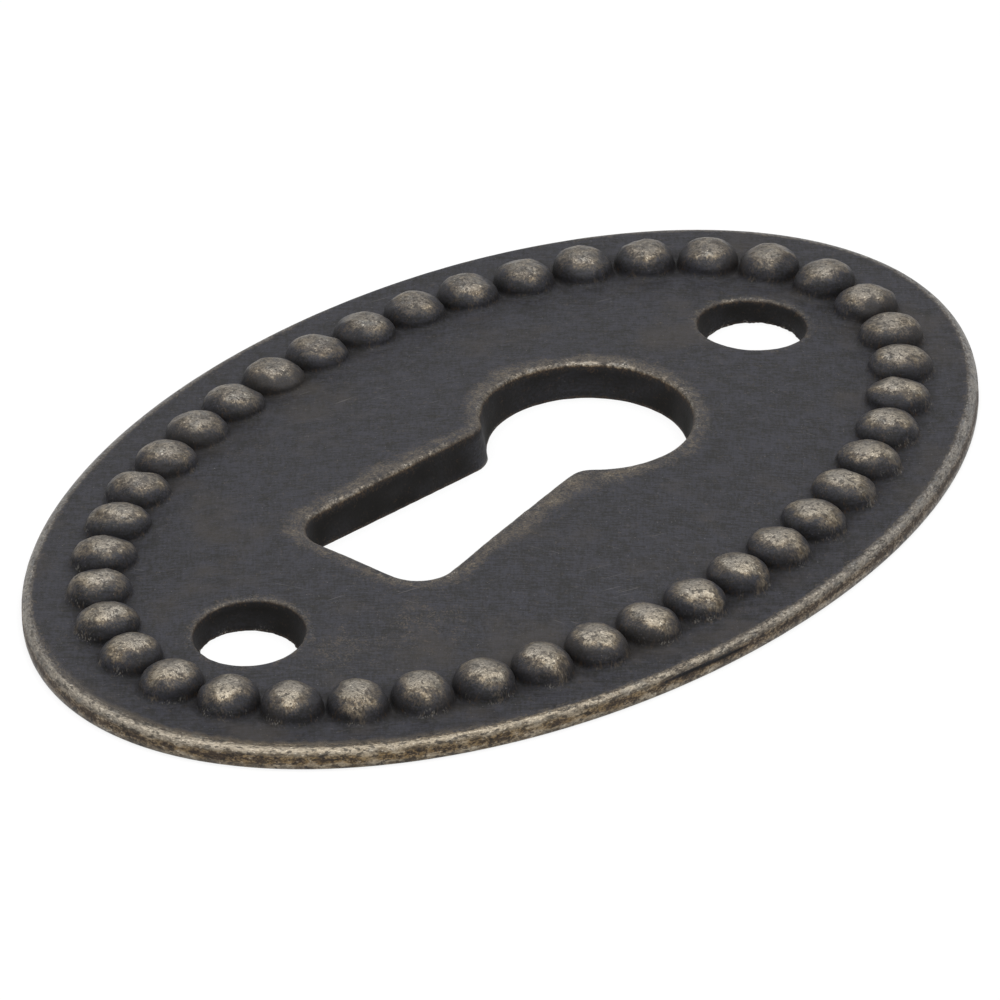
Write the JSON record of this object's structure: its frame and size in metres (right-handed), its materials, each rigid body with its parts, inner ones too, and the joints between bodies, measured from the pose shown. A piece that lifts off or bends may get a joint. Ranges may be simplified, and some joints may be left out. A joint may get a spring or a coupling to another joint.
{
  "type": "keyhole escutcheon",
  "caption": "Small oval keyhole plate with a domed middle, a beaded border, a keyhole with a round head and flared slot, and holes for fixing screws at the top and bottom.",
  "frame": {"origin": "centre of the flat back face, on the surface that the plate is screwed to", "axes": "+Z out of the front face, +Y along the long axis to the round head of the keyhole, +X to the right seen from the front"},
  "size_m": [0.026, 0.04, 0.0015],
  "materials": {
    "patinated_brass": "matt near-black antique patina, rubbed back to dull brass on the beads, the rim and the edges of the openings"
  },
  "bodies": {
    "root": {"escutcheon_plate": "patinated_brass"}
  },
  "joints": []
}
